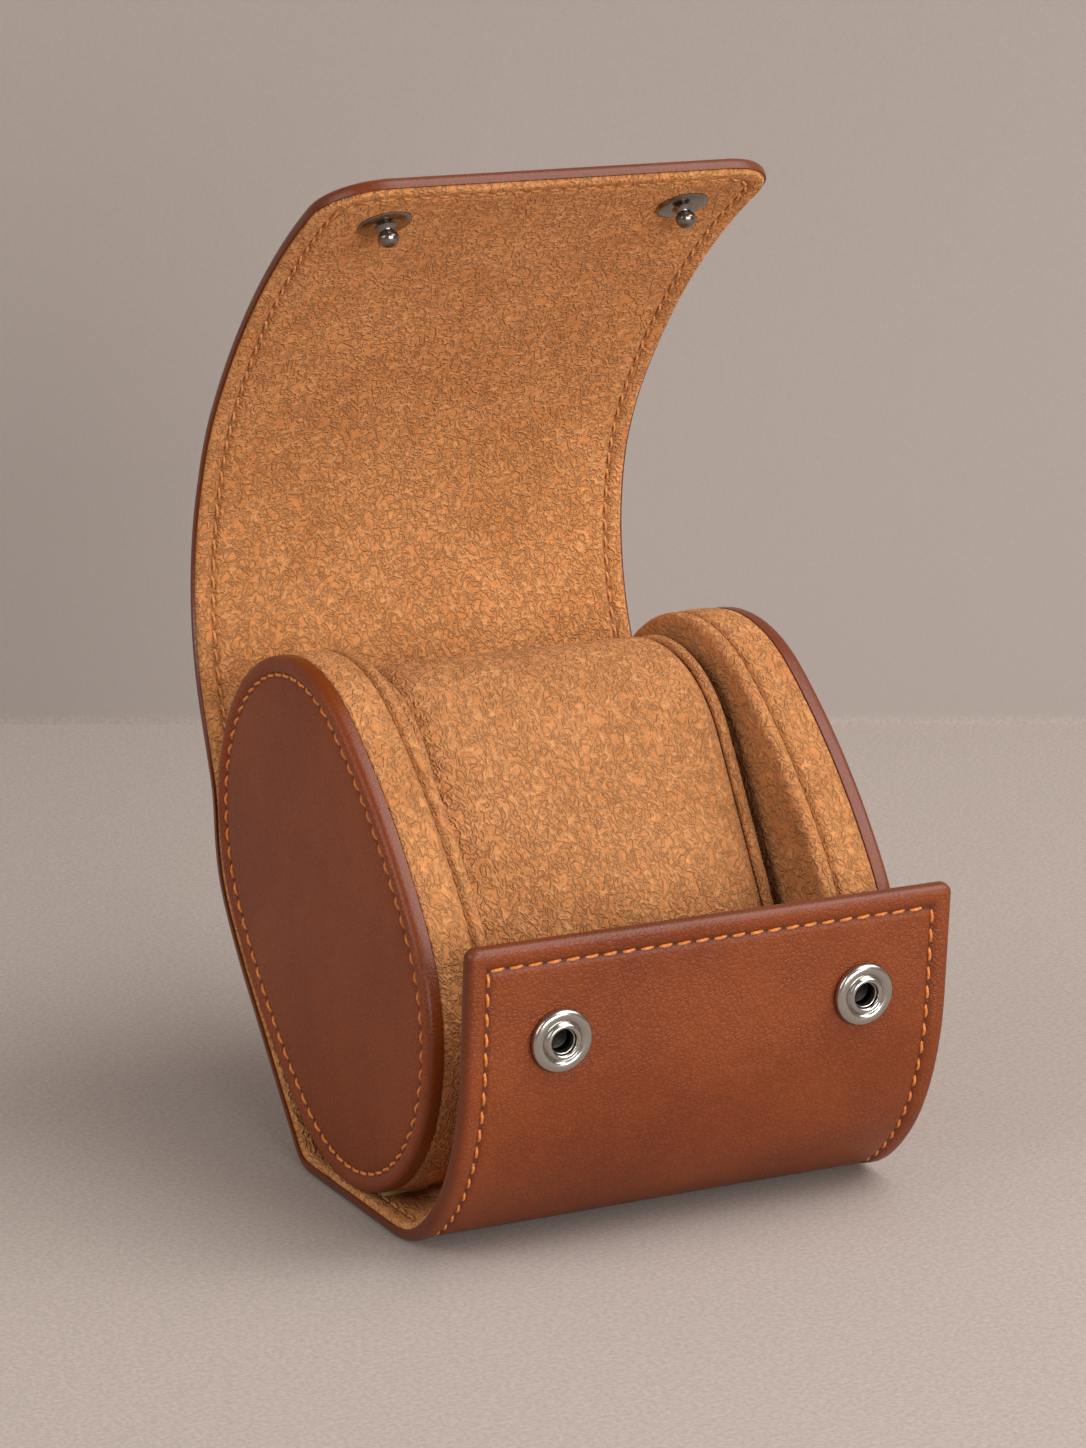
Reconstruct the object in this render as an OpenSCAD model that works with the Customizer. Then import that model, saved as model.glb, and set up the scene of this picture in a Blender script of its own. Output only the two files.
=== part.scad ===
// Soft travel case for one watch: two oval end cushions stand on a leather strip that runs
// up the front as a flap and up the back as a long lid. The strip bends at flex lines.
// Millimetres, +Z up, front towards -Y, X across the case, the floor at z = 0.

/* [Strip] */
// Width of the strip across the base and the front flap
base_w = 100; // [84:1:120]
// Width of the strip at the free edge of the lid
lid_w = 95; // [80:1:116]
// Thickness of the outer leather
leather_t = 1.3; // [0.8:0.1:2]
// Thickness of the stiff board inside the strip
board_t = 1.0; // [0.6:0.1:2]
// Thickness of the suede lining
lining_t = 1.0; // [0.6:0.1:2]
// Corner radius at the free edge of the lid
lid_corner = 12.5; // [6:0.5:20]
// Corner radius at the free edge of the flap
flap_corner = 3; // [1:0.5:10]
// Free gap kept at each flex line
flex_gap = 0.3; // [0.2:0.05:0.6]

/* [End cushions] */
// Long axis of the oval
oval_l = 107; // [98:1:116]
// Short axis of the oval
oval_h = 76; // [74:0.5:84]
// Radius of the oval's rounded ends
oval_end_r = 36.5; // [33:0.5:37]
// Lean of the long axis from level, degrees
oval_lean = 45; // [40:1:50]
// Setback of each leather end face from the side of the strip
face_in = 0.2; // [0:0.1:2]
// Width of one cushion, from leather face to suede inner face
cushion_w = 14.6; // [10:0.2:20]
// Depth of the leather face's turned lip
lip_w = 3.2; // [2.4:0.1:5]
// Glue line between the cushions and the strip
glue_t = 0.3; // [0.2:0.1:0.6]
// Distance of the cushions' middle behind the middle of the case
cushion_y = 0.6; // [-5:0.1:10]

/* [Pillow] */
// Thickness of the watch pillow across its flat way
pillow_t = 60; // [50:1:62]
// Length of the pillow's straight part
pillow_run = 39; // [25:1:42]
// Play of the pillow at each side
pillow_play = 1; // [0.4:0.1:4]
// Lean of the pillow from level, degrees
pillow_lean = 59; // [50:1:70]

/* [Heel and flap] */
// Level run of the flap in front of the base's lowest point
flap_toe = 20; // [16:0.5:24]
// Length of the flap's first and tightest curve
flap_low = 14.8; // [13:0.2:17]
// Length of the flap's second curve
flap_mid = 19.7; // [17:0.2:22]
// Length of the flap's third and widest curve
flap_high = 20.4; // [18:0.2:23]
// Level run of the base behind its lowest point
heel_run = 18.5; // [10:0.5:24]
// Bend radius of the heel at mid thickness
heel_r = 6; // [4:0.5:12]
// Straight part of the flap at its free edge
flap_end = 22.4; // [18:0.2:30]

/* [Lid] */
// Backward kink of the lid where it leaves the cushions, degrees
lid_kink = 25; // [15:1:32]
// Straight part of the lid above the kink
lid_rise = 18; // [12:0.5:24]
// Radius of the lid's round back
lid_r = 62; // [55:1:75]
// Sweep of the round back, degrees
lid_sweep = 60; // [50:1:64]
// Radius of the flatter end of the lid
lid_end_r = 150; // [120:5:260]
// Length of the lid from the kink to its free edge
lid_l = 159.4; // [150:0.2:165]

/* [Snaps] */
// Distance of each snap from the middle of the case
snap_x = 31.3; // [24:0.1:32]
// Distance of the sockets from the flap's free edge
socket_in = 19; // [14:0.5:21]
// Distance of the studs from the lid's free edge
stud_in = 15; // [12:0.5:20]
// Diameter of the socket cap
cap_d = 12; // [10:0.5:14]
// Height of the socket cap above the leather
cap_h = 1.8; // [1.4:0.1:2.4]
// Bore of the socket
bore_d = 4.8; // [4.4:0.1:5.4]
// Diameter of the stud's ball
ball_d = 4.0; // [3.4:0.1:4.2]
// Height of the stud above the lining
stud_h = 5.0; // [4.4:0.1:5.4]

/* [Hidden] */
$fn = 48;
eps = 0.01;
strip_t = leather_t + board_t + lining_t;
tan_c = "#7a3a1e";
edge_c = "#6b3721";
suede_c = "#b27242";
board_c = "#8a7a66";
foam_c = "#e3d9c0";
nickel_c = "#c9c7c2";
dark_c = "#8f8a86";
spring_c = "#a8a6a0";
glue_c = "#c9b78f";

// Oval outline: end radius, half height, distance of the end centres, side radius, junction
end_r = oval_end_r;
half_h = oval_h / 2;
end_d = oval_l / 2 - end_r;
side_r = (end_d * end_d + half_h * half_h - end_r * end_r) / (2 * (half_h - end_r));
join_a = atan2(side_r - half_h, end_d);
lean_u = [cos(oval_lean), sin(oval_lean)];
lean_n = [-sin(oval_lean), cos(oval_lean)];
mid_c = [cushion_y, strip_t + glue_t + end_r + end_d * lean_u[1]];
low_c = mid_c - end_d * lean_u;
top_c = mid_c + end_d * lean_u;
back_c = mid_c + (side_r - half_h) * lean_n;
hug_end = end_r + glue_t + strip_t / 2;
hug_side = side_r + glue_t + strip_t / 2;

// Mid-thickness path of the strip. A state is [point, heading]; heading 0 goes up and
// +90 goes to the front. A run is [length, turn in degrees].
function way(h) = [-sin(h), cos(h)];
function left(h) = [-cos(h), -sin(h)];
function go(s, l, turn) = abs(turn) < 1e-6 ? [s[0] + l * way(s[1]), s[1]]
    : let (r = l * 180 / PI / turn)
      [s[0] + 2 * r * sin(turn / 2) * way(s[1] + turn / 2), s[1] + turn];
function states(runs, s, i = 0) = i >= len(runs) ? [s]
    : concat([s], states(runs, go(s, runs[i][0], runs[i][1]), i + 1));
function marks(runs, i = 0, at = 0) = i >= len(runs) ? [at]
    : concat([at], marks(runs, i + 1, at + runs[i][0]));
function arc(r, turn) = [r * turn * PI / 180, turn];

toe = [[low_c[0], strip_t / 2], 90];
heel_c = [low_c[0] + heel_run, strip_t / 2 + heel_r];
heel_v = heel_c - back_c;
slope_a = atan2(heel_v[1], heel_v[0]) + acos((hug_side - heel_r) / norm(heel_v));
slope_from = heel_c + heel_r * [cos(slope_a), sin(slope_a)];
slope_to = back_c + hug_side * [cos(slope_a), sin(slope_a)];
hug_a = oval_lean - join_a;
flap_runs = [[flap_toe, 0], [flap_low, -37.9], [flap_mid, -28], [flap_high, -20], [flap_end, 0]];
base_runs = [[heel_run, 0], arc(heel_r, slope_a + 90), [norm(slope_to - slope_from), 0],
    arc(hug_side, hug_a - slope_a), arc(hug_end, -hug_a)];
lid_end_l = lid_l - lid_rise - lid_r * lid_sweep * PI / 180;
lid_runs = [[lid_rise, 0], arc(lid_r, lid_sweep), [lid_end_l, lid_end_l / lid_end_r * 180 / PI]];
heel_s = [[low_c[0], strip_t / 2], -90];
lid_s = [[top_c[0] + hug_end, top_c[1]], -lid_kink];

// Each path: its runs, first state, and the side its lining faces (-1 for the flap)
paths = [[flap_runs, toe, -1], [base_runs, heel_s, 1], [lid_runs, lid_s, 1]];
flap_l = marks(flap_runs)[5];
base_l = marks(base_runs)[5];

// Flex lines along the flap and the lid, and the segments between them:
// [path, from, to, half width, corner radius at a free edge]
flap_at = [0.45 * flap_toe, flap_toe + 0.811 * flap_low,
    flap_toe + flap_low + flap_mid + 0.4657 * flap_high];
lid_at = [for (f = [0.0044, 0.0753, 0.1757, 0.3074, 0.7654]) f * lid_l];
function half_w(i) = (base_w - (base_w - lid_w) * (0.12 + 0.88 * i / 4)) / 2;
flap_1 = [0, flap_at[0], flap_at[1], base_w / 2, 0];
flap_2 = [0, flap_at[1], flap_at[2], base_w / 2, 0];
flap_3 = [0, flap_at[2], flap_l, base_w / 2, flap_corner];
lid_1 = [2, lid_at[0], lid_at[1], half_w(0), 0];
lid_2 = [2, lid_at[1], lid_at[2], half_w(1), 0];
lid_3 = [2, lid_at[2], lid_at[3], half_w(2), 0];
lid_4 = [2, lid_at[3], lid_at[4], half_w(3), 0];
lid_5 = [2, lid_at[4], lid_l, half_w(4), lid_corner];

// Placing helpers: a 2D shape in (Y, Z) spread along X, and a frame on the strip
module spread(w) rotate([90, 0, 90]) linear_extrude(w, center = true) children();
function run_no(p, at, i = 0) = at < marks(paths[p][0])[i + 1] - eps
    || i + 2 >= len(marks(paths[p][0])) ? i : run_no(p, at, i + 1);
function state_at(p, at) = let (i = run_no(p, at), r = paths[p][0][i],
    d = at - marks(paths[p][0])[i]) go(states(paths[p][0], paths[p][1])[i], d, r[1] * d / r[0]);
// z = 0 on the outer leather, +z out of it, +y along the path
module on_strip(p, at) {
    s = state_at(p, at);
    f = paths[p][2];
    out = s[0] - f * strip_t / 2 * left(s[1]);
    translate([0, out[0], out[1]])
        rotate([s[1] + 90, 0, 0]) mirror([0, 0, f > 0 ? 1 : 0]) children();
}

// Band of the strip between depths a and b below the leather face. Round runs are divided
// finely enough to leave less than a hundredth of a millimetre of flat.
function cuts(p, from, to) = let (m = marks(paths[p][0]), last = m[len(m) - 1]) [from,
    for (i = [0 : len(m) - 2]) let (lo = max(from, m[i]), hi = min(to, m[i + 1]),
        n = hi - lo < eps ? 0 : max(1, ceil(abs(paths[p][0][i][1]) * (hi - lo) / (m[i + 1] - m[i]) / 1.6)))
        if (n > 0) for (k = [1 : n]) lo + (hi - lo) * k / n,
    if (to > last + eps) to];
function at_depth(p, q, along, depth) = let (s = state_at(p, q))
    s[0] + along * way(s[1]) + paths[p][2] * (depth - strip_t / 2) * left(s[1]);
function edge(p, at, depth) = [for (q = at) at_depth(p, q, 0, depth)];
function flip(v) = [for (i = [len(v) - 1 : -1 : 0]) v[i]];
module band(p, from, to, a, b) {
    c = cuts(p, from, to);
    polygon(concat(edge(p, c, a), flip(edge(p, c, b))));
}
// The same with its near end rolled about the flex line, so that it turns in the hollow
// left at the far end of the piece before it
roll_r = strip_t / 2;
module rolled(p, from, to, a, b) {
    c = cuts(p, from, to);
    lo = asin((a - roll_r) / roll_r);
    hi = asin((b - roll_r) / roll_r);
    arc_pts = [for (k = [0 : 8]) let (g = lo + (hi - lo) * k / 8)
        at_depth(p, from, -roll_r * cos(g), roll_r + roll_r * sin(g))];
    inner = flip(edge(p, c, b));
    polygon(concat(edge(p, c, a), [for (i = [0 : len(inner) - 2]) inner[i]],
        b < strip_t ? [inner[len(inner) - 1]] : [], flip(arc_pts)));
}
// The band run on straight past both ends, to cut a layer's room out of another
module passing(p, from, to, a, b) {
    c = cuts(p, from, to);
    polygon(concat([at_depth(p, from, -3, a)], edge(p, c, a), [at_depth(p, to, 3, a)],
        [at_depth(p, to, 3, b)], flip(edge(p, c, b)), [at_depth(p, from, -3, b)]));
}
module hollow(p, at) translate(state_at(p, at)[0]) circle(strip_t / 2 + flex_gap);

// One segment between two depths, and the plan of a free edge with rounded corners
module slab(g, a, b, w) spread(w) difference() {
    rolled(g[0], g[1], g[2], a, b);
    if (g[4] == 0) hollow(g[0], g[2]);
}
module plan(g, inset) on_strip(g[0], g[2]) linear_extrude(80, center = true) {
    r = g[4] - inset;
    x = g[3] - g[4];
    polygon(concat([[-x - r, -60]],
        [for (k = [0 : 10]) [-x - r * cos(9 * k), r * sin(9 * k) - g[4]]],
        [for (k = [10 : -1 : 0]) [x + r * cos(9 * k), r * sin(9 * k) - g[4]]],
        [[x + r, -60]]));
}
module trimmed(g, inset) if (g[4] == 0) children();
    else intersection() {
        children();
        plan(g, inset);
    }
board_top = leather_t + board_t;
module skin(g) color(tan_c) difference() {
    trimmed(g, 0) slab(g, 0, board_top, 2 * g[3] + (g[4] > 0 ? 2 : 0));
    trimmed(g, leather_t) spread(2 * (g[3] - leather_t) + (g[4] > 0 ? 2 : 0))
        passing(g[0], g[1], g[2], leather_t, board_top + 1);
}
module stiffener(g) color(board_c) trimmed(g, leather_t)
    slab(g, leather_t, board_top, 2 * (g[3] - leather_t) + (g[4] > 0 ? 2 : 0));
module suede(g) color(suede_c) trimmed(g, 0.4)
    slab(g, board_top, strip_t, 2 * (g[3] - 0.4) + (g[4] > 0 ? 2 : 0));

// Base: the strip under and behind the cushions, from the flap to the lid
module base_band(a, b) {
    c = cuts(1, eps, base_l);
    polygon(concat(edge(0, [flap_at[0]], a), edge(1, c, a), flip(edge(1, c, b)),
        edge(0, [flap_at[0]], b)));
}
module base_slab(a, b, w) spread(w) difference() {
    base_band(a, b);
    hollow(0, flap_at[0]);
    hollow(2, lid_at[0]);
}
module base_leather() color(tan_c) difference() {
    base_slab(0, board_top, base_w);
    spread(base_w - 2 * leather_t) base_band(leather_t, board_top + 1);
}
module base_board() color(board_c) base_slab(leather_t, board_top, base_w - 2 * leather_t);
module base_lining() color(suede_c) base_slab(board_top, strip_t, base_w - 0.8);

module flap_1_leather() skin(flap_1);
module flap_1_board() stiffener(flap_1);
module flap_1_lining() suede(flap_1);
module flap_2_leather() skin(flap_2);
module flap_2_board() stiffener(flap_2);
module flap_2_lining() suede(flap_2);
module flap_3_leather() difference() {
    skin(flap_3);
    snap_holes(0, flap_l - socket_in, bore_d / 2 + 0.65);
}
module flap_3_board() difference() {
    stiffener(flap_3);
    snap_holes(0, flap_l - socket_in, bore_d / 2 + 0.65);
}
module flap_3_lining() difference() {
    suede(flap_3);
    snap_holes(0, flap_l - socket_in, post_r + 0.05);
}
module lid_1_leather() skin(lid_1);
module lid_1_board() stiffener(lid_1);
module lid_1_lining() suede(lid_1);
module lid_2_leather() skin(lid_2);
module lid_2_board() stiffener(lid_2);
module lid_2_lining() suede(lid_2);
module lid_3_leather() skin(lid_3);
module lid_3_board() stiffener(lid_3);
module lid_3_lining() suede(lid_3);
module lid_4_leather() skin(lid_4);
module lid_4_board() stiffener(lid_4);
module lid_4_lining() suede(lid_4);
module lid_5_leather() difference() {
    skin(lid_5);
    snap_holes(2, lid_l - stud_in, 1.85);
}
module lid_5_board() difference() {
    stiffener(lid_5);
    snap_holes(2, lid_l - stud_in, 1.85);
}
module lid_5_lining() difference() {
    suede(lid_5);
    snap_holes(2, lid_l - stud_in, 1.85);
}

// Cushions: leather face with a turned lip over a board, foam, suede band and inner face
module oval(inset) {
    r = end_r - inset;
    x = end_d + r * cos(join_a);
    translate(mid_c) rotate(oval_lean) {
        intersection() {
            translate([0, half_h - side_r]) circle(side_r - inset);
            translate([0, side_r - half_h]) circle(side_r - inset);
            square([2 * x, 3 * half_h], center = true);
        }
        for (m = [-1, 1]) intersection() {
            translate([m * end_d, 0]) circle(r);
            translate([m * (x + half_h), 0]) square([2 * half_h, 3 * half_h], center = true);
        }
    }
}
// side is -1 for the left cushion; from and to are distances from the middle of the case
module along(side, from, to) translate([side * (from + to) / 2, 0, 0]) spread(to - from) children();
face_x = base_w / 2 - face_in;
bay_x = face_x - cushion_w;
lip_x = face_x - lip_w;
module face(side) color(tan_c) difference() {
    union() {
        along(side, lip_x, face_x - 0.8) oval(0);
        along(side, face_x - 0.8, face_x - 0.3) oval(0.35);
        along(side, face_x - 0.3, face_x) oval(1);
    }
    along(side, lip_x - 1, face_x - 1.2) oval(1.2);
}
module card(side) color(board_c) along(side, lip_x, face_x - 1.2) oval(1.2);
module foam(side) color(foam_c) along(side, bay_x + 1, lip_x) oval(1);
module rim(side) color(suede_c) difference() {
    along(side, bay_x + 1, lip_x) oval(0);
    along(side, bay_x, lip_x + 1) oval(1);
}
module cheek(side) color(suede_c) along(side, bay_x, bay_x + 1) oval(0);
module glue(side) color(glue_c) along(side, bay_x + 1.5, lip_x - 0.5) {
    m = marks(base_runs);
    band(1, m[3] + 1, m[5] - 3, strip_t + 0.03, strip_t + glue_t - 0.03);
    difference() {
        translate([low_c[0] - 8, strip_t + 0.02]) square([16, 1.1]);
        translate(low_c) circle(end_r + 0.03, $fn = 240);
    }
}
module left_face() face(-1);
module left_board() card(-1);
module left_foam() foam(-1);
module left_band() rim(-1);
module left_cheek() cheek(-1);
module left_glue() glue(-1);
module right_face() face(1);
module right_board() card(1);
module right_foam() foam(1);
module right_band() rim(1);
module right_cheek() cheek(1);
module right_glue() glue(1);

// Pillow: a foam core with rounded ends in a suede cover, standing between the cushions
pillow_r = pillow_t / 2;
pillow_w = 2 * (bay_x - pillow_play);
pillow_a = [low_c[0] + 5.4, strip_t + 0.7 + pillow_r];
module pill(inset) translate(pillow_a) rotate(pillow_lean) {
    circle(pillow_r - inset);
    translate([pillow_run, 0]) circle(pillow_r - inset);
    translate([0, inset - pillow_r]) square([pillow_run, pillow_t - 2 * inset]);
}
module pillow_core() color(foam_c) spread(pillow_w - 3) pill(1.2);
module pillow_cover() color(suede_c) spread(pillow_w) difference() {
    pill(0);
    pill(1.2);
}
module pillow_end(side) color(suede_c) along(side, pillow_w / 2 - 1.5, pillow_w / 2) pill(1.2);
module pillow_left() pillow_end(-1);
module pillow_right() pillow_end(1);

// Snaps: a capped socket with a spring ring and a post on the flap, a stud and rivet on the lid
post_r = 4.5;
bore_r = bore_d / 2;
module snap_holes(p, at, r) on_strip(p, at)
    for (m = [-1, 1]) translate([m * snap_x, 0, -strip_t - 1]) cylinder(h = strip_t + 2, r = r);
module at_socket(side) on_strip(0, flap_l - socket_in) translate([side * snap_x, 0, 0]) children();
module at_stud(side) on_strip(2, lid_l - stud_in) translate([side * snap_x, 0, -strip_t - 0.12])
    mirror([0, 0, 1]) children();
module socket(side) color(nickel_c) at_socket(side) rotate_extrude() difference() {
    polygon([[bore_r, 0], [cap_d / 2, 0], [cap_d / 2, cap_h * 0.5], [cap_d / 2 - 0.3, cap_h * 0.75],
        [cap_d / 2 - 0.9, cap_h * 0.95], [cap_d / 2 - 1.5, cap_h], [bore_r + 0.9, cap_h],
        [bore_r + 0.3, cap_h * 0.85], [bore_r, cap_h * 0.6]]);
    translate([bore_r - 0.1, cap_h / 2 - 0.6]) square([0.75, 0.7]);
}
module spring(side) color(spring_c) at_socket(side) translate([0, 0, cap_h / 2 - 0.25])
    rotate_extrude() translate([bore_r + 0.34, 0]) circle(0.28);
module post(side) color(nickel_c) at_socket(side) {
    translate([0, 0, -leather_t - board_t]) difference() {
        cylinder(h = leather_t + board_t, r = bore_r + 0.6);
        translate([0, 0, -1]) cylinder(h = leather_t + board_t + 2, r = bore_r);
    }
    translate([0, 0, -strip_t + 0.2]) cylinder(h = lining_t - 0.2, r = post_r);
}
module stud(side) color(dark_c) at_stud(side) {
    rotate_extrude() polygon([[0, 0], [5.2, 0], [5.2, 0.35], [4.4, 0.7], [3, 0.9], [1.55, 0.95],
        [1.45, stud_h - ball_d / 2 - 1], [0, stud_h - ball_d / 2 - 1]]);
    translate([0, 0, stud_h - ball_d / 2]) sphere(ball_d / 2);
    translate([0, 0, -strip_t - 0.1]) cylinder(h = strip_t + 0.3, r = 1.2);
}
module rivet(side) color(nickel_c) at_stud(side) translate([0, 0, -strip_t - 0.12]) difference() {
    union() {
        rotate_extrude() polygon([[0, -1.1], [3.2, -1], [4.8, -0.7], [5.5, -0.3], [5.5, 0], [0, 0]]);
        cylinder(h = strip_t - 0.4, r = 1.8);
    }
    translate([0, 0, -0.3]) cylinder(h = strip_t + 2, r = 1.25);
}
module left_socket() socket(-1);
module left_spring() spring(-1);
module left_post() post(-1);
module right_socket() socket(1);
module right_spring() spring(1);
module right_post() post(1);
module left_stud() stud(-1);
module left_rivet() rivet(-1);
module right_stud() stud(1);
module right_rivet() rivet(1);

base_leather();
base_board();
base_lining();
flap_1_leather();
flap_1_board();
flap_1_lining();
flap_2_leather();
flap_2_board();
flap_2_lining();
flap_3_leather();
flap_3_board();
flap_3_lining();
lid_1_leather();
lid_1_board();
lid_1_lining();
lid_2_leather();
lid_2_board();
lid_2_lining();
lid_3_leather();
lid_3_board();
lid_3_lining();
lid_4_leather();
lid_4_board();
lid_4_lining();
lid_5_leather();
lid_5_board();
lid_5_lining();
left_face();
left_board();
left_foam();
left_band();
left_cheek();
left_glue();
right_face();
right_board();
right_foam();
right_band();
right_cheek();
right_glue();
pillow_core();
pillow_cover();
pillow_left();
pillow_right();
left_socket();
left_spring();
left_post();
right_socket();
right_spring();
right_post();
left_stud();
left_rivet();
right_stud();
right_rivet();
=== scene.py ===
import math

import bmesh
import bpy
import numpy as np
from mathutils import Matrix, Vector


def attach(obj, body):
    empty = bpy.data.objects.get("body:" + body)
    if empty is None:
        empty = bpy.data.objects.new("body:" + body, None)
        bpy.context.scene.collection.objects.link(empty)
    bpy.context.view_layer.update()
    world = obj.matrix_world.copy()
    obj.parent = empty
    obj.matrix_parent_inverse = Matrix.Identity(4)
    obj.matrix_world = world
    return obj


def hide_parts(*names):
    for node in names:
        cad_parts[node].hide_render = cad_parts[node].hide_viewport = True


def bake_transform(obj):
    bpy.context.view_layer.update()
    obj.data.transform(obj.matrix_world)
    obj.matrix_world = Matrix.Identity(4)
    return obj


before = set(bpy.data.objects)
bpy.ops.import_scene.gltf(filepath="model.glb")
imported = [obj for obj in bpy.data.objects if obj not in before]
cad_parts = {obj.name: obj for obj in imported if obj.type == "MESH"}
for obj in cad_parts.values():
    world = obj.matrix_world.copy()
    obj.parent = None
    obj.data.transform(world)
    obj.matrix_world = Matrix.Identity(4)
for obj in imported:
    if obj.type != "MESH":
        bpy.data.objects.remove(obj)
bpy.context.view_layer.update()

# Table top and studio. The case stands on a pale warm-grey table in front of a slightly darker
# wall, lit by a large soft lamp high on the right, one in front and a weak one on the left. The
# camera has a long lens and stands 89 cm away, where the photograph was taken from.
MM = 0.001


def in_scene(name, data):
    """A new object, shown in the scene."""
    made = bpy.data.objects.new(name, data)
    bpy.context.scene.collection.objects.link(made)
    return made


looking = Vector((0.4384, 0.8674, -0.2355))
camera_data = bpy.data.cameras.new("camera")
camera_data.lens = 111.88
camera_data.sensor_width = 36
camera_data.clip_start = 0.05
camera = in_scene("camera", camera_data)
camera.location = Vector((-380.4, -747.8, 288.7)) * MM
camera.rotation_euler = looking.to_track_quat("-Z", "Y").to_euler()
bpy.context.scene.camera = camera
bpy.context.scene.view_settings.view_transform = "Standard"


def tint(red, green, blue):
    """A colour given as a screen shows it, 0 to 255, as linear light."""
    return tuple(((c / 255 + 0.055) / 1.055) ** 2.4 if c > 10 else c / 255 / 12.92
                 for c in (red, green, blue)) + (1.0,)


def new_node(tree, kind, settings, values):
    """A node with its settings, and the value or socket of each input, where s0 is the first."""
    made = tree.nodes.new(kind)
    for name, value in (settings or {}).items():
        setattr(made, name, value)
    for name, value in values.items():
        numbered = name[0] == "s" and name[1:].isdigit()
        into = made.inputs[int(name[1:]) if numbered else name.replace("_", " ")]
        if isinstance(value, bpy.types.NodeSocket):
            tree.links.new(value, into)
        else:
            into.default_value = value
    return made


class Wire:
    """One socket of a material's nodes. Arithmetic on it adds Math nodes."""

    def __init__(self, tree, socket):
        self.tree, self.socket = tree, socket

    def add(self, kind, settings=None, out=0, **values):
        """Any other node: its type, its settings, and the value or wire of each input."""
        values = {name: value.socket if isinstance(value, Wire) else value
                  for name, value in values.items()}
        return Wire(self.tree, new_node(self.tree, kind, settings, values).outputs[out])

    def sum_of(self, operation, first, second=0.0):
        return self.add("ShaderNodeMath", {"operation": operation}, s0=first, s1=second)

    def __add__(self, other): return self.sum_of("ADD", self, other)
    def __sub__(self, other): return self.sum_of("SUBTRACT", self, other)
    def __mul__(self, other): return self.sum_of("MULTIPLY", self, other)
    def __rsub__(self, other): return self.sum_of("SUBTRACT", other, self)
    __radd__, __rmul__ = __add__, __mul__
    def __abs__(self): return self.sum_of("ABSOLUTE", self)
    def clip(self): return self.add("ShaderNodeClamp", Value=self)
    def larger(self, other): return self.sum_of("MAXIMUM", self, other)

    def between(self, low, high):
        """0 below low and 1 above high."""
        return self.add("ShaderNodeMapRange", {"interpolation_type": "SMOOTHSTEP"}, Value=self,
                        From_Min=low, From_Max=high)

    def blend(self, first, second):
        """A colour that goes from first at 0 to second at 1."""
        return self.add("ShaderNodeMix", {"data_type": "RGBA"}, out=2, s0=self, s6=first, s7=second)

    def noise(self, size, detail=2.0, warp=0.0):
        """Cloudy noise with marks about size millimetres across."""
        return self.add("ShaderNodeTexNoise", Vector=self, Scale=1 / (size * MM), Detail=detail,
                        Distortion=warp)

    def bump(self, strength, rise):
        """A rough surface with this wire as its height, which rises by that many metres."""
        return self.add("ShaderNodeBump", Strength=strength, Distance=rise, Height=self)

    def stored(self, label):
        """A value stored on the mesh's points."""
        return self.add("ShaderNodeAttribute", {"attribute_name": label}, out=2)


def finish_named(name, **fixed):
    """A material with some inputs fixed, the wire of its place on the piece, and its shader."""
    made = bpy.data.materials.new(name)
    made.use_nodes = True
    tree = made.node_tree
    shader = tree.nodes["Principled BSDF"]
    for socket, value in fixed.items():
        shader.inputs[socket.replace("_", " ")].default_value = value
    place = tree.nodes.new("ShaderNodeTexCoord")
    return made, Wire(tree, place.outputs["Object"]), shader


def connect(shader, **wires):
    """Runs each wire into the shader's input of that name."""
    for name, wire in wires.items():
        wire.tree.links.new(wire.socket, shader.inputs[name.replace("_", " ")])


def object_from(name, points, faces, finish, smooth_angle=50):
    """A smooth closed piece from points in metres, its faces turned outwards."""
    mesh = bpy.data.meshes.new(name)
    mesh.from_pydata([tuple(p) for p in points], [], faces)
    shape = bmesh.new()
    shape.from_mesh(mesh)
    bmesh.ops.remove_doubles(shape, verts=shape.verts, dist=1e-6)
    bmesh.ops.recalc_face_normals(shape, faces=shape.faces)
    shape.to_mesh(mesh)
    shape.free()
    mesh.shade_smooth()
    mesh.set_sharp_from_angle(angle=math.radians(smooth_angle))
    mesh.materials.append(finish)
    return in_scene(name, mesh)


SOFT_FOOT, WALL_PAINTED_LIGHT_FADE, BACKFACING = 0.004, 0.3, 6
paper, place, shader = finish_named("backdrop_paper", Roughness=0.95, Specular_IOR_Level=0.15)
height = place.add("ShaderNodeSeparateXYZ", out=2, Vector=place)
speck = place.noise(0.9, 3, 0.4).between(0.3, 0.7)
table_colour = speck.blend(tint(161, 150, 143), tint(175, 163, 155))
# Painted light: the wall is painted lighter at its foot, close to the table's colour, and fades
# over 30 cm up to its own darker tone, standing in for the light that falls low on the wall.
wall_colour = height.between(0.0, WALL_PAINTED_LIGHT_FADE).blend(tint(160, 150, 144), tint(150, 140, 134))
wall_colour = (speck * 0.12).blend(wall_colour, table_colour)
connect(shader, Base_Color=height.between(0.0, SOFT_FOOT).blend(table_colour, wall_colour),
        Normal=place.noise(0.8, 3).bump(0.25, 0.0002))
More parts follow.
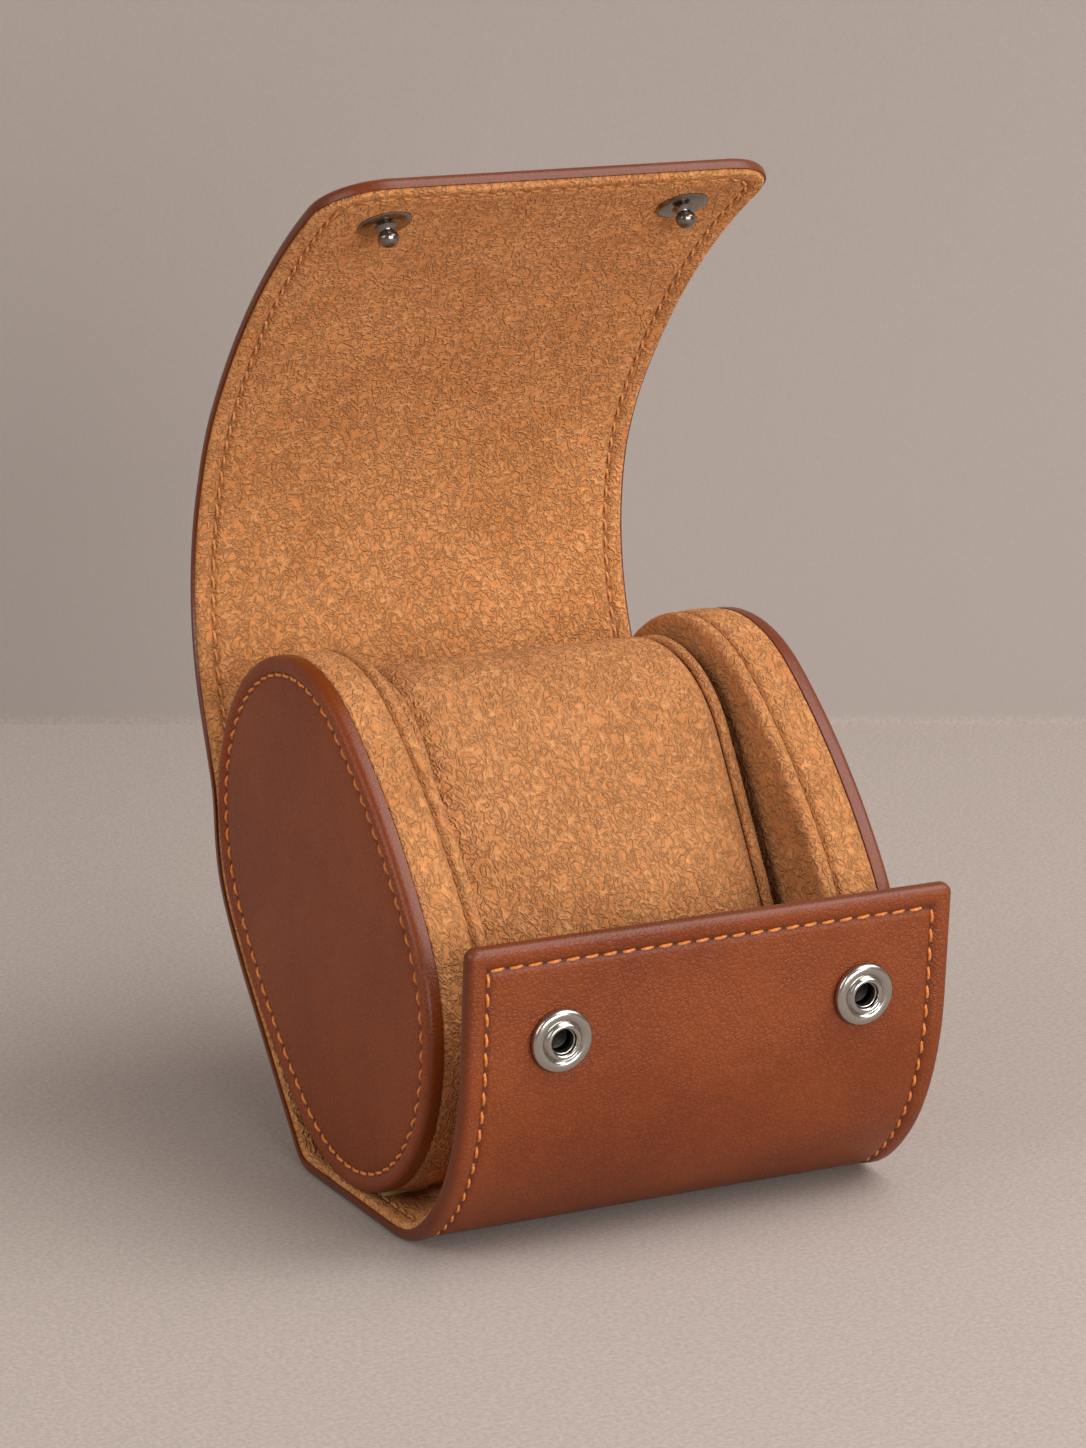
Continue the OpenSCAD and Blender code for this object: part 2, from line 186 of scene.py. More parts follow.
# The wall is clear from behind, so that the case can be looked at from there as well.
from_behind = place.add("ShaderNodeNewGeometry", out=BACKFACING)
lit = Wire(place.tree, shader.outputs["BSDF"])
one_sided = place.add("ShaderNodeMixShader", s0=from_behind, s1=lit,
                      s2=place.add("ShaderNodeBsdfTransparent"))
place.tree.links.new(one_sided.socket, place.tree.nodes["Material Output"].inputs["Surface"])
away = Vector((looking.x, looking.y, 0)).normalized()
across = Vector((away.y, -away.x, 0))
TABLE_REACH, WALL_AWAY, WALL_HEIGHT, HALF_SPAN = 1.2, 0.352, 1.6, 2.5
profile = [(-TABLE_REACH, 0), (TABLE_REACH, 0), (WALL_AWAY, 0), (WALL_AWAY, WALL_HEIGHT)]
sheet = bpy.data.meshes.new("table_and_wall")
sheet.from_pydata([away * reach + across * side + Vector((0, 0, up))
                   for reach, up in profile for side in (-HALF_SPAN, HALF_SPAN)],
                  [], [(0, 1, 3, 2), (4, 5, 7, 6)])
sheet.materials.append(paper)
table_top = in_scene("table_and_wall", sheet)
LAMP_COLOUR = (1.0, 0.985, 0.97)


def lamp(name, spot, aim_height, size, watts):
    """A soft lamp, size metres wide and high, that points at the case's middle at that height."""
    data = bpy.data.lights.new(name, "AREA")
    data.shape, data.energy, data.color = "RECTANGLE", watts, LAMP_COLOUR
    data.size, data.size_y = size
    made = in_scene(name, data)
    made.location = spot
    aim = Vector((0, 0, aim_height)) - Vector(spot)
    made.rotation_euler = aim.to_track_quat("-Z", "Y").to_euler()


lamp("key_softbox", (0.62, -0.46, 1.05), 0.07, (1.1, 1.1), 17.0)
lamp("front_fill", (0.10, -1.45, 0.42), 0.12, (1.1, 0.5), 17.0)
lamp("left_fill", (-1.2, -0.15, 0.75), 0.08, (0.9, 0.9), 7.0)
world = bpy.data.worlds.new("room")
world.use_nodes = True
room_light = world.node_tree.nodes["Background"].inputs
room_light["Color"].default_value = (0.92, 0.9, 0.88, 1)
room_light["Strength"].default_value = 0.30
bpy.context.scene.world = world

# The strip: one long piece of tan leather, turned over a stiff board at its edges and lined
# with suede. It is the flap, the base, the back and the lid, and bends where it is worn soft.
# It is built along its mid-thickness path, from the flap's free edge to the lid's.
STRIP, TURNED = 3.3, 2.3  # thickness of all three layers, and of leather and board, in mm
HALF_WIDTH, LID_LENGTH, LID_RISE, LID_LEAN = 50, 159.4, 18, -25
SHOULDER_BEND, SHOULDER_SWEEP, LID_END_BEND = 62, 60, 150

# A run of the path is its length in mm and how many degrees it turns.
flap_runs = [(20, 0), (14.8, -37.9), (19.7, -28), (20.4, -20), (22.4, 0)]
toe = (-11.4208, 1.65)
back_centre, hug_side, hug_end = (-66.9876, 119.708), 135.533, 38.45
heel_centre, heel_bend, heel_level = (7.0792, 7.65), 6.0, 18.5
slope_turn, hug_turn = -41.1882, -34.9151
lid_foot = (51.0708, 64.1416)


def toward(degrees):
    """Unit direction (y, z) at that many degrees from y."""
    return np.array([math.cos(math.radians(degrees)), math.sin(math.radians(degrees))])


def arc_run(radius, turn):
    return (radius * math.radians(turn), turn)


slope_from = np.array(heel_centre) + heel_bend * toward(slope_turn)
slope_to = np.array(back_centre) + hug_side * toward(slope_turn)
base_runs = [(heel_level, 0), arc_run(heel_bend, slope_turn + 90),
             (float(np.linalg.norm(slope_to - slope_from)), 0),
             arc_run(hug_side, hug_turn - slope_turn), arc_run(hug_end, -hug_turn)]
shoulder = arc_run(SHOULDER_BEND, SHOULDER_SWEEP)
flat_end = LID_LENGTH - LID_RISE - shoulder[0]
lid_runs = [(LID_RISE, 0), shoulder, (flat_end, math.degrees(flat_end / LID_END_BEND))]
FLAP_LENGTH = sum(length for length, turn in flap_runs)
BACK_LENGTH = sum(length for length, turn in base_runs)
EASED, NOTHING = 5.0, 1e-9


def follow(runs, start, heading, reach):
    """Place and heading after reach millimetres of straight and round runs."""
    spot, h = np.array(start, float), heading
    for number, (length, turn) in enumerate(runs):
        part = chord = reach if number == len(runs) - 1 else min(reach, length)
        bend = turn * part / length
        half = math.radians(h + bend / 2)
        if abs(bend) >= NOTHING:
            chord = 2 * part / math.radians(bend) * math.sin(math.radians(bend / 2))
        spot = spot + chord * np.array([-math.sin(half), math.cos(half)])
        h, reach = h + bend, reach - part
        if reach <= NOTHING:
            break
    return spot, h


def on_path(s):
    """Place (y, z) of the strip's middle and the direction to its lining at s, in millimetres.
    s is 0 under the cushions, minus the flap's length at one end and the lid's end at the other.
    A cubic curve eases the fold at the lid's foot."""
    if abs(s - BACK_LENGTH) < EASED:
        p0, n0 = on_path(BACK_LENGTH - EASED - 1e-6)
        p1, n1 = on_path(BACK_LENGTH + EASED + 1e-6)
        t0, t1 = (np.array([n[1], -n[0]]) * 2 * EASED for n in (n0, n1))
        u = (s - BACK_LENGTH + EASED) / (2 * EASED)
        spot = ((2 * u**3 - 3 * u**2 + 1) * p0 + (u**3 - 2 * u**2 + u) * t0
                + (3 * u**2 - 2 * u**3) * p1 + (u**3 - u**2) * t1)
        way = ((6 * u**2 - 6 * u) * p0 + (3 * u**2 - 4 * u + 1) * t0
               + (6 * u - 6 * u**2) * p1 + (3 * u**2 - 2 * u) * t1)
        way = way / np.linalg.norm(way)
        return spot, np.array([-way[1], way[0]])
    if s < 0:
        spot, h = follow(flap_runs, toe, 90, -s)
        return spot, toward(h)
    if s <= BACK_LENGTH:
        spot, h = follow(base_runs, toe, -90, s)
    else:
        spot, h = follow(lid_runs, lid_foot, LID_LEAN, s - BACK_LENGTH)
    return spot, -toward(h)


FIRST, LAST = -FLAP_LENGTH, BACK_LENGTH + LID_LENGTH
FLAP_CORNER, LID_CORNER, LEAST_CORNER = 2.0, 12.5, 0.3
UNDER_CASE = 60
NARROWS_BY, NARROWS_BEFORE, NARROWS_OVER = 2.5, 15, 80


def half_width(s):
    """The strip's half width: full under the case and narrowing along the lid."""
    along_lid = (s - BACK_LENGTH + NARROWS_BEFORE) / NARROWS_OVER
    return HALF_WIDTH - NARROWS_BY * min(1, max(0, along_lid))


def nearest_end(s):
    """How far s is from the free edge on its side, and the radius of that edge's corners."""
    return (s - FIRST, FLAP_CORNER) if s < UNDER_CASE else (LAST - s, LID_CORNER)


def edge_distance(x, s, inset=0.0):
    """How far a point of the strip is from its cut edge, rounded at the four corners."""
    end, corner = nearest_end(s)
    a, b = half_width(s) - abs(x) - inset, end - inset
    corner = max(corner - inset, LEAST_CORNER)
    if a < corner and b < corner:
        return corner - math.hypot(corner - a, corner - b)
    return min(a, b)


def width_at(s, inset=0.0):
    """Half width between the cut edges at s, less an inset."""
    end, corner = nearest_end(s)
    corner, end = max(corner - inset, LEAST_CORNER), max(end - inset, 0)
    w = half_width(s) - inset
    return w if end >= corner else w - corner + math.sqrt(max(0, corner**2 - (corner - end) ** 2))


# The strip is made in zones, one to each bend. Rows and columns of points lie closer together
# near the edges, where the leather rolls over, and a row lies on each cut between two zones.
cuts = [FIRST, -48.0, -20.5, 46.0] + [BACK_LENGTH + d for d in (6.35, 20.0, 38.5, 85.5)] + [LAST]
by_flap_edge = (0, 0.15, 0.4, 0.75, 1.2, 1.7, 2.3, 2.9, 3.4, 3.8, 4.2, 4.6, 5.1, 5.7, 6.5, 7.5)
by_lid_edge = (0, 0.1, 0.3, 0.6, 1.0, 1.5, 2.1, 2.7, 3.2, 3.6, 4.0, 4.4, 4.8, 5.3, 6, 6.8, 7.6,
               8.4, 9.2, 10, 11, 12, 13)
by_side_edge = [0, 0.2, 0.5, 0.9, 1.4, 2.0, 2.6, 3.1, 3.5, 3.85, 4.2, 4.55, 4.9, 5.3, 5.9, 6.7,
                7.6, 8.6, 9.8, 11.2, 13, 15.5]
ROW_STEP, LEAST_STEP, CLEAR_OF_CUT, MIDDLE_COLUMNS, SHORT_ROW = 1.25, 0.09, 0.3, 14, 20
rows = [FIRST + d for d in by_flap_edge] + [LAST - d for d in by_lid_edge] + cuts[1:-1]
rows = sorted(rows + list(np.arange(FIRST + 8.7, LAST - 13.8, ROW_STEP)))
rows = [r for i, r in enumerate(rows) if i == 0 or r - rows[i - 1] > LEAST_STEP or r in cuts]
rows = [r for r in rows if r in cuts or all(abs(r - c) > CLEAR_OF_CUT for c in cuts[1:-1])]
columns = [("left", d) for d in by_side_edge]
columns += [("middle", k / MIDDLE_COLUMNS) for k in range(1, MIDDLE_COLUMNS)]
columns += [("right", d) for d in by_side_edge[::-1]]


def column_x(kind, value, w):
    """Where a column crosses a row of half width w. A short row has its edges squeezed."""
    if kind == "middle":
        return (w - by_side_edge[-1]) * (2 * value - 1)
    squeeze = min(1.0, w / SHORT_ROW)
    return (value * squeeze - w) * (1 if kind == "left" else -1)


SEAM_IN, LINING_IN, SKIN_IN, LINING_OUT = 4.2, 0.55, 0.36, 0.1
LEATHER_ROLL, LINING_ROLL, CROWN, CROWN_IN, WAVE = 1.25, 0.8, 0.34, 1.85, 0.03
LEATHER_PULL, LINING_PULL = (0.42, 0.62), (0.60, 0.8)  # how deep and wide the seam pulls in
CALM_WITHIN, SOFTENS_OVER = 5, 8
waves = [(0.11, 0.023, 0.4), (0.047, 0.061, 1.7), (0.083, 0.037, 3.1)]


def near_to(value, middle, width):
    """1 at the middle, falling to nothing within a few widths."""
    return math.exp(-((value - middle) / width) ** 2)


def rolled(d, radius):
    """How far a rolled edge has dropped at d from the edge."""
    return 0.0 if d >= radius else radius - math.sqrt(max(0.0, radius**2 - (radius - d) ** 2))


def waviness(x, s, d):
    """The slight softness of hand-laid leather, which ends at the seams."""
    rise = sum(math.sin(a * x + b * s + c) for a, b, c in waves)
    return WAVE * rise * min(1, max(0, (d - CALM_WITHIN) / SOFTENS_OVER))


def leather_depth(x, s):
    """Depth of the leather's face below the strip's outer face: a rolled edge with a crown
    beside it, and a channel pulled in by the seam."""
    d = edge_distance(x, s)
    crown = CROWN * max(0.0, 1 - ((d - CROWN_IN) / CROWN_IN) ** 2) if d < 2 * CROWN_IN else 0.0
    channel = LEATHER_PULL[0] * near_to(d, SEAM_IN, LEATHER_PULL[1])
    return rolled(d, LEATHER_ROLL) - crown + channel + waviness(x, s, d) + SKIN_IN


def lining_depth(x, s):
    """Depth of the lining's face, which is set back from the edge and softer."""
    d = edge_distance(x, s, LINING_IN)
    channel = LINING_PULL[0] * near_to(d + LINING_IN, SEAM_IN, LINING_PULL[1])
    soft = waviness(1.3 * x, 1.2 * s, d)
    return STRIP + LINING_OUT - rolled(d, LINING_ROLL) - channel + soft


def spot_on_strip(x, s, depth):
    """Place in metres of a point that deep in the strip."""
    middle, inward = on_path(s)
    y, z = middle + inward * (depth - STRIP / 2)
    return (x * MM, y * MM, z * MM)


LEAST_ROW, OVERLAP, TUCK = 0.05, 0.05, 0.02


def layer(name, low, high, inset, face_depth, hidden_depth, finish):
    """One layer of the strip between two cuts, as a closed shell: its face, its hidden side
    and its four edges."""
    own = [r for r in rows if low <= r <= high and FIRST + inset <= r <= LAST - inset]
    if low == FIRST and inset:
        own = [FIRST + inset] + [r for r in own if r > FIRST + inset + LEAST_ROW]
    if high == LAST and inset:
        own = [r for r in own if r < LAST - inset - LEAST_ROW] + [LAST - inset]
    face, hidden, count = [], [], len(columns)
    for s in own:
        w = width_at(s, inset)
        for kind, value in columns:
            x = column_x(kind, value, w)
            face.append(spot_on_strip(x, s, face_depth(x, s)))
            hidden.append(spot_on_strip(column_x(kind, value, w - TUCK), s, hidden_depth))
    faces, under = [], len(face)
    for i in range(len(own) - 1):
        for j in range(count - 1):
            a = i * count + j
            faces.append((a, a + 1, a + count + 1, a + count))
            faces.append((under + a, under + a + count, under + a + count + 1, under + a + 1))
        for j in (0, count - 1):
            a = i * count + j
            faces.append((a, a + count, under + a + count, under + a))
    for i in (0, len(own) - 1):
        for j in range(count - 1):
            a = i * count + j
            faces.append((a, a + 1, under + a + 1, under + a))
    return object_from(name, face + hidden, faces, finish)


def leather_named(name, dark, light, worn, deep):
    """Smooth finished leather: fine creased grain with painted shade in its creases, faint
    clouding, painted shade along the seam line and a slightly burnished turned edge, both from
    values stored on the mesh."""
    made, place, shader = finish_named(name, Specular_IOR_Level=0.27, Coat_Weight=0.16,
                                       Coat_Roughness=0.3)
    cloud = place.noise(30, 3, 0.3).between(0.3, 0.7)
    fine = place.noise(1.6, 4, 0.8)
    wander = place.add("ShaderNodeTexNoise", out=1, Vector=place, Scale=600.0, Detail=1.0)
    bent = place.add("ShaderNodeVectorMath", {"operation": "MULTIPLY_ADD"}, s0=wander,
                     s1=(0.0007, 0.0007, 0.0007), s2=place)
    cell = bent.add("ShaderNodeTexVoronoi", {"feature": "DISTANCE_TO_EDGE"}, Vector=bent,
                    Scale=980.0, Randomness=1.0)
    # Painted shade: the grain's creases are painted darker, towards the deep colour.
    crease = (1 - cell.between(0.0, 0.2)) * (0.7 + place.noise(7, 3).between(0.4, 0.62) * 0.3)
    colour = cloud.blend(dark, light)
    colour = (fine.between(0.45, 0.75) * 0.2).blend(colour, worn)
    colour = (crease * 0.28).blend(colour, deep)
    rim, seam_shade = place.stored("rim"), place.stored("seam_shade")
    colour = (rim * 0.55).blend(colour, deep)
    # Painted shade: a dark line along the seam, for the shade in the stitch channel and its needle
    # holes.
    colour = (seam_shade * 0.72).blend(colour, tint(52, 22, 10))
    height = fine * 0.4 + (1 - crease) * 0.8 + place.noise(0.45, 2) * 0.2
    bump = (height * (1 - rim * 0.7)).bump(0.6, 0.0002)
    connect(shader, Base_Color=colour, Roughness=(0.36 + fine * 0.18 - rim * 0.1), Normal=bump)
    return made


strip_leather = leather_named("strip_leather", tint(115, 49, 13), tint(129, 59, 19),
                              tint(155, 80, 37), tint(77, 30, 8))
strands = [((0.4, 0.2, 0.5), (0, 0, 0), 1.9), ((1.3, 0.7, 1.9), (0.31, 0.2, 0.1), 2.1),
           ((2.2, 1.9, 0.8), (0.07, 0.4, 0.6), 1.7), ((2.9, 0.4, 2.6), (0.5, 0.7, 0.3), 2.0)]


def suede_named(name, dark, middle, light):
    """Napped suede-like cloth embossed all over with short curled strands."""
    made, place, shader = finish_named(name, Roughness=0.95, Specular_IOR_Level=0.12,
                                       Sheen_Weight=0.25, Sheen_Roughness=0.4)
    shader.inputs["Sheen Tint"].default_value = tint(236, 184, 132)
    strand = ditch = None
    for angles, shift, size in strands:
        laid = place.add("ShaderNodeMapping", Vector=place, Rotation=angles, Location=shift,
                         Scale=(1.0, 0.6, 0.85))
        level = 1 - abs(laid.noise(size, 0, 0.6) - 0.5) * 15.0
        shown = laid.noise(2.2, 0).between(0.43, 0.50)
        ridge, beside = level.clip() * shown, (1 - abs(level + 0.5) * 1.5).clip() * shown
        strand = ridge if strand is None else strand.larger(ridge)
        ditch = beside if ditch is None else ditch.larger(beside)
    ditch = ditch * (1 - strand)
    nap = place.noise(0.32, 2)
    patch = place.noise(19, 3, 0.8).between(0.3, 0.7)
    pit = place.noise(1.0, 1, 0.8).between(0.60, 0.72)
    colour = patch.blend(dark, middle)
    # Painted highlight: the strands' tops are painted lighter.
    colour = (strand * 0.24).blend(colour, light)
    colour = (nap.between(0.45, 0.75) * 0.2).blend(colour, light)
    # Painted shade: the hollows beside the strands and the pits are painted darker.
    colour = (ditch * 0.17).blend(colour, tint(138, 78, 36))
    colour = (pit * 0.12).blend(colour, tint(126, 72, 34))
    # Painted shade: where the mesh stores seam shade, the suede is painted darker, for the shade in
    # seam channels and in the gaps at the pillow's ends.
    colour = (place.stored("seam_shade") * 0.55).blend(colour, tint(96, 50, 20))
    height = strand - ditch * 0.35 + nap * 0.15 + place.noise(3.5, 2) * 0.3 - pit * 0.3
    connect(shader, Base_Color=colour, Normal=height.bump(0.85, 0.00045))
    return made


lining_suede = suede_named("lining_suede", tint(194, 125, 72), tint(209, 141, 87),
                           tint(246, 190, 130))
row_spots = np.array([on_path(r)[0] for r in rows])


def nearest_row(co):
    """The row that a point of a mesh lies on, or the one beside it."""
    gaps = ((row_spots - np.array([co.y / MM, co.z / MM])) ** 2).sum(1)
    return rows[int(np.argmin(gaps))]


def store(piece, label, values):
    """Keeps one value for each point of a piece, for its finish."""
    kept = piece.data.attributes.new(label, "FLOAT", "POINT")
    kept.data.foreach_set("value", np.array(values, np.float32))


def rim_at(d, width):
    """1 at a turned edge, falling to nothing inside it."""
    return max(0.0, min(1.0, 1.25 - d / width))


def mark_edges(piece, seam_width):
    """Stores how near each point is to the turned edge, for its finish, and to the seam, for the
    painted shade along the seam.
    """
    near = [edge_distance(v.co.x / MM, nearest_row(v.co)) for v in piece.data.vertices]
    store(piece, "rim", [rim_at(d, 1.2) for d in near])
    store(piece, "seam_shade", [near_to(d, SEAM_IN, seam_width) for d in near])


# For each zone: the two bodies of its joint, where its flex line lies, how far the bend
# spreads each way, and the bodies whose layers it stands for.
joint_of = {"flap_end": ("flap_3", "flap_2", -64.006, 12, ["flap_3"]),
            "flap_front": ("flap_2", "flap_1", -32.0028, 9.5, ["flap_2"]),
            "flap_toe": ("flap_1", "base", -9.0, 4, ["flap_1", "base"]),
            "back": ("base", "lid_1", BACK_LENGTH + 0.70, 4.3, ["lid_1"]),
            "lid_low": ("lid_1", "lid_2", BACK_LENGTH + 12.0, 4.9, ["lid_2"]),
            "lid_back": ("lid_2", "lid_3", BACK_LENGTH + 28.0, 7.0, ["lid_3"]),
            "lid_top": ("lid_3", "lid_4", BACK_LENGTH + 49.0, 9.5, ["lid_4"]),
            "lid_end": ("lid_4", "lid_5", BACK_LENGTH + 122.0, 14, ["lid_5"])}
zones = list(zip(joint_of, cuts, cuts[1:]))


def bend_with(piece, zone):
    """Bakes the piece's placing into its points. It looks up that zone's flex line but does not
    bend the piece.
    """
    first, second, at, reach, _ = joint_of[zone]
    p, q = on_path(at - reach)[0], on_path(at + reach)[0]
    p[0] * MM
    p[1] * MM
    q[0] * MM
    q[1] * MM
    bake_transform(piece)


def ring_faces(rings, around, joined=False):
    """Four-sided faces between closed rings of points, also from the last to the first if
    they are joined."""
    faces = []
    for i in range(rings if joined else rings - 1):
        this, after = i * around, (i + 1) % rings * around
        for k in range(around):
            j = (k + 1) % around
            faces.append((this + k, this + j, after + j, after + k))
    return faces


def fan(first, around, middle):
    """Three-sided faces from a ring, whose points start at first, to the point in its middle."""
    return [(first + k, first + (k + 1) % around, middle) for k in range(around)]


def turned(name, profile, spot, axis, finish, around=64):
    """A piece turned round an axis from (radius, height) pairs, closed on itself."""
    axis = np.array(axis) / np.linalg.norm(axis)
    side = np.array([1.0, 0, 0])
    third = np.cross(axis, side)
    points = []
    for r, h in profile:
        for k in range(around):
            a = 2 * math.pi * k / around
            round_it = axis * h + side * r * math.cos(a) + third * r * math.sin(a)
            points.append(np.array(spot) + round_it * MM)
    faces = ring_faces(len(profile), around)
    return object_from(name, points, faces, finish, smooth_angle=35)


SNAP_X, HOLE_R, THROUGH = 31.3, 3.05, 6
socket_s, stud_s = FIRST + 19, LAST - 15
hole = [(0, -THROUGH), (HOLE_R, -THROUGH), (HOLE_R, THROUGH), (0, THROUGH)]


def snap_spot(side, y_z):
    """Place in metres of one side's snap, from its (y, z) in millimetres."""
    return (side * SNAP_X * MM, y_z[0] * MM, y_z[1] * MM)


def pierce(piece):
    """Two round holes through the flap for the snap posts."""
    middle, inward = on_path(socket_s)
    for side in (-1, 1):
        punch = turned("punch", hole, snap_spot(side, middle), (0, *inward), strip_leather, 40)
        cut = piece.modifiers.new("hole", "BOOLEAN")
        cut.operation, cut.solver, cut.object = "DIFFERENCE", "EXACT", punch
        pierced = piece.evaluated_get(bpy.context.evaluated_depsgraph_get())
        pierced = bpy.data.meshes.new_from_object(pierced)
        piece.modifiers.clear()
        piece.data = pierced
        bpy.data.objects.remove(punch)
    piece.data.shade_smooth()
    piece.data.set_sharp_from_angle(angle=math.radians(50))


for zone, low, high in zones:
    outer = layer("leather_" + zone, low, high, 0.0, leather_depth, TURNED + OVERLAP,
                  strip_leather)
    inner = layer("suede_" + zone, low, high, LINING_IN, lining_depth, TURNED - OVERLAP,
                  lining_suede)
    if zone == "flap_end":
        pierce(outer)
        pierce(inner)
    mark_edges(outer, 0.45)
    mark_edges(inner, 0.6)
    bend_with(outer, zone)
    bend_with(inner, zone)
    for body in joint_of[zone][-1]:
        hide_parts(body + "_leather", body + "_board")
        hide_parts(body + "_lining")

# The seams: one row of light orange thread along both sides of the strip and across its two
# free edges, locked through leather, board and lining, so it shows on both faces. Each stitch
# is a short arched strand that dives into the leather at both ends.


def thread_named(name, dark, light, dull, shine):
    """Sewing thread, with the marks of its plies."""
    made, place, shader = finish_named(name, Roughness=dull, Specular_IOR_Level=shine)
    ply = place.noise(0.5, 2).between(0.3, 0.7)
    connect(shader, Base_Color=ply.blend(dark, light),
            Normal=place.noise(0.25, 1).bump(0.5, 0.0001))
    return made


thread_finish = thread_named("seam_thread", tint(190, 104, 46), tint(222, 138, 70), 0.62, 0.3)
tan_thread = thread_named("tan_thread", tint(180, 112, 58), tint(222, 156, 98), 0.75, 0.2)
brown_thread = thread_named("brown_thread", tint(126, 72, 32), tint(166, 104, 54), 0.8, 0.15)
STITCH = {"Length": 2.6, "Thickness": 0.34, "Rise": 0.34}
stitcher = bpy.data.node_groups.new("stitches", "GeometryNodeTree")
add_socket = stitcher.interface.new_socket
add_socket("Geometry", in_out="INPUT", socket_type="NodeSocketGeometry")
for label, size in STITCH.items():
    add_socket(label, in_out="INPUT", socket_type="NodeSocketFloat").default_value = size * MM
add_socket("Thread", in_out="INPUT", socket_type="NodeSocketMaterial")
add_socket("Geometry", in_out="OUTPUT", socket_type="NodeSocketGeometry")


def step(kind, settings=None, **values):
    """One node of the stitch tree, of which only the first output is used."""
    return new_node(stitcher, kind, settings, values).outputs[0]


def times(value, factor):
    return step("ShaderNodeMath", {"operation": "MULTIPLY"}, s0=value, s1=factor)


given = stitcher.nodes.new("NodeGroupInput").outputs
half, minus_half = times(given["Length"], 0.5), times(given["Length"], -0.5)
dip, top = times(given["Rise"], -1.1), times(given["Rise"], 2.0)
arch = step("GeometryNodeCurveQuadraticBezier", Resolution=7,
            Start=step("ShaderNodeCombineXYZ", X=minus_half, Z=dip),
            Middle=step("ShaderNodeCombineXYZ", Z=top),
            End=step("ShaderNodeCombineXYZ", X=half, Z=dip))
round_section = step("GeometryNodeCurvePrimitiveCircle", Resolution=6, Radius=given["Thickness"])
strand = step("GeometryNodeCurveToMesh", Curve=arch, Profile_Curve=round_section, Fill_Caps=True)
run = step("GeometryNodeInputNamedAttribute", {"data_type": "FLOAT_VECTOR"}, Name="run")
out = step("GeometryNodeInputNamedAttribute", {"data_type": "FLOAT_VECTOR"}, Name="out")
turn = step("FunctionNodeAlignRotationToVector", {"axis": "X"}, Vector=run)
turn = step("FunctionNodeAlignRotationToVector", {"axis": "Z", "pivot_axis": "X"},
            Rotation=turn, Vector=out)
placed = step("GeometryNodeInstanceOnPoints", Points=given["Geometry"], Instance=strand,
              Rotation=turn)
real = step("GeometryNodeRealizeInstances", Geometry=placed)
smooth = step("GeometryNodeSetShadeSmooth", s0=real)
dyed = step("GeometryNodeSetMaterial", Geometry=smooth, Material=given["Thread"])
stitcher.links.new(dyed, stitcher.nodes.new("NodeGroupOutput").inputs["Geometry"])


def sew(name, spots, runs, outs, thread, **changed):
    """Turns seam points, with the way the seam runs and the way out, into one mesh of stitches."""
    mesh = bpy.data.meshes.new(name + "_points")
    mesh.from_pydata([tuple(p) for p in spots], [], [])
    for label, vectors in (("run", runs), ("out", outs)):
        kept = mesh.attributes.new(label, "FLOAT_VECTOR", "POINT")
        kept.data.foreach_set("vector", np.array(vectors, np.float32).ravel())
    holder = in_scene(name + "_points", mesh)
    tree = holder.modifiers.new("stitches", "NODES")
    tree.node_group = stitcher
    sockets = {item.name: item.identifier for item in stitcher.interface.items_tree
               if item.in_out == "INPUT"}
    for label, size in {**STITCH, **changed}.items():
        tree[sockets[label]] = size * MM
    tree[sockets["Thread"]] = thread
    sewn = holder.evaluated_get(bpy.context.evaluated_depsgraph_get())
    made = in_scene(name, bpy.data.meshes.new_from_object(sewn))
    bpy.data.objects.remove(holder)
    return made


# Each stitch has its x and s, and the part of its run that goes across and along the strip.
PITCH, FLAP_SIDE, LID_SIDE = 3.75, HALF_WIDTH - SEAM_IN, half_width(LAST) - LID_CORNER
bend_in, round_corner, lid_start, SLANT = LID_CORNER - SEAM_IN, (13, 39, 65, 88), 0.6, 0.10
stitches = [(side * (half_width(s) - SEAM_IN), s, 0, 1) for side in (-1, 1)
            for s in np.arange(FIRST + SEAM_IN + PITCH / 2, LAST - LID_CORNER, PITCH)]
stitches += [(x, FIRST + SEAM_IN, 1, 0)
             for x in np.arange(-FLAP_SIDE + PITCH / 2, FLAP_SIDE, PITCH)]
stitches += [(x, LAST - SEAM_IN, 1, 0) for x in np.arange(-LID_SIDE + lid_start, LID_SIDE, PITCH)]
for side in (-1, 1):
    for degrees in round_corner:
        over, up = toward(degrees)
        stitches.append((side * (LID_SIDE + bend_in * over), LAST - LID_CORNER + bend_in * up,
                         -side * up, over))
for zone, low, high in zones:
    for word, sign, spun, thick, face_depth, sink in (
            ("thread_", 1, thread_finish, 0.34, leather_depth, -0.05),
            ("inner_thread_", -1, tan_thread, 0.3, lining_depth, 0.2)):
        spots, ways, outs = [], [], []
        for x, s, gx, gs in stitches:
            if not low <= s < high:
                continue
            inward = on_path(s)[1]
            along = np.array([inward[1], -inward[0]])
            fx, fs = gx + SLANT * sign * gs, gs - SLANT * sign * gx
            spots.append(spot_on_strip(x, s, face_depth(x, s) + sink))
            ways.append((fx, along[0] * fs, along[1] * fs))
            outs.append((0, -sign * inward[0], -sign * inward[1]))
        thread = sew(word + zone, spots, ways, outs, spun, Thickness=thick)
        bend_with(thread, zone)

# The end cushions: a firm oval core under a leather end face whose edge is turned over a board
# and sewn all round, with a suede band glued round the rim and suede on the inner face. Both
# stand on the strip and are glued to it at the bottom and the back.
OVAL_MIDDLE, OVAL_LEAN = (0.6, 52.1208), 45.0
END_R, HALF_H, END_D = 36.5, 38.0, 17.0
SIDE_R = (END_D**2 + HALF_H**2 - END_R**2) / (2 * (HALF_H - END_R))
JOIN = math.degrees(math.atan2(SIDE_R - HALF_H, END_D))
AROUND = 240


